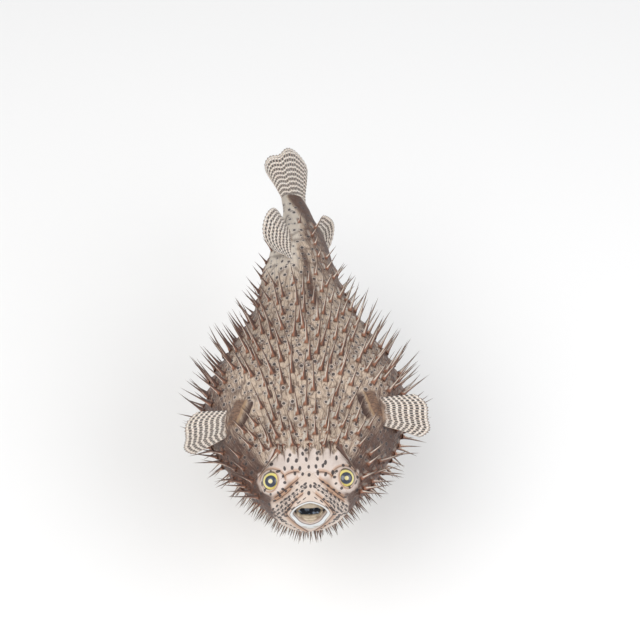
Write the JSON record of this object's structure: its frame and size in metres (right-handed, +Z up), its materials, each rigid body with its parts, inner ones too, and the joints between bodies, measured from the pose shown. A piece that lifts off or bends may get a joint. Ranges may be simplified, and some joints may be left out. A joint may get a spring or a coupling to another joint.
{
  "type": "porcupine pufferfish model",
  "caption": "Porcupine pufferfish, half blown up, covered in long spines, with spotted face and fins, on a plain two-rod display stand.",
  "frame": {"origin": "middle of the stand base's underside", "axes": "+Z up, -Y the way the fish looks, +X the fish's left side"},
  "size_m": [0.1953, 0.3891, 0.2026],
  "materials": {
    "skin": "matte, spotted",
    "fin": "satin, spotted",
    "eye": "wet gloss",
    "beak": "smooth tooth enamel",
    "stand": "pale satin paint",
    "rod": "brushed"
  },
  "bodies": {
    "root": {"head": "skin", "trunk": "skin", "tail": "skin", "eye_left": "eye", "eye_right": "eye", "beak_upper": "beak", "beak_lower": "beak", "pectoral_fin_left": "fin", "pectoral_fin_right": "fin", "dorsal_fin": "fin", "anal_fin": "fin", "tail_fin": "fin", "stand_base": "stand", "stand_rod_front": "rod", "stand_rod_rear": "rod"}
  },
  "joints": []
}
